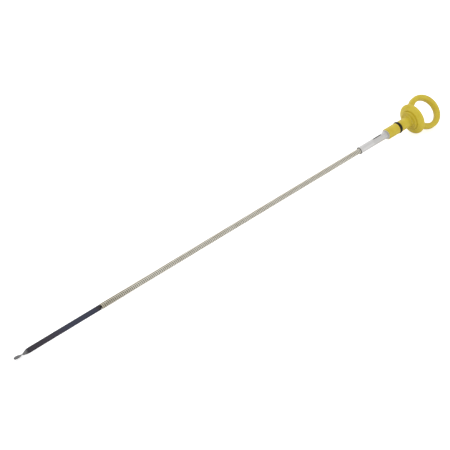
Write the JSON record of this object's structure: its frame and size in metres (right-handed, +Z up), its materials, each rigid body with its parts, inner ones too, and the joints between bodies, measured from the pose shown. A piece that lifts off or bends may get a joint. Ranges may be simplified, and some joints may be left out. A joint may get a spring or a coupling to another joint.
{
  "type": "engine oil dipstick",
  "caption": "Engine oil dipstick: finger ring handle with flange, sealed stem, crimped ferrule, wound wire stick and a flat blade with a twisted tip.",
  "frame": {"origin": "middle of the part's bounding box, on the floor that it lies on", "axes": "+Z up, +X along the floor from the tip towards the handle's ring"},
  "size_m": [0.5114, 0.0314, 0.0314],
  "materials": {
    "handle": "satin mustard yellow",
    "o_ring": "satin black",
    "ferrule": "satin",
    "coil": "nickel plated wire",
    "core_wire": "oiled dark steel",
    "blade": "blued spring steel"
  },
  "bodies": {
    "root": {"handle": "handle", "o_ring": "o_ring", "ferrule": "ferrule", "coil": "coil", "core_wire": "core_wire", "blade": "blade"}
  },
  "joints": []
}
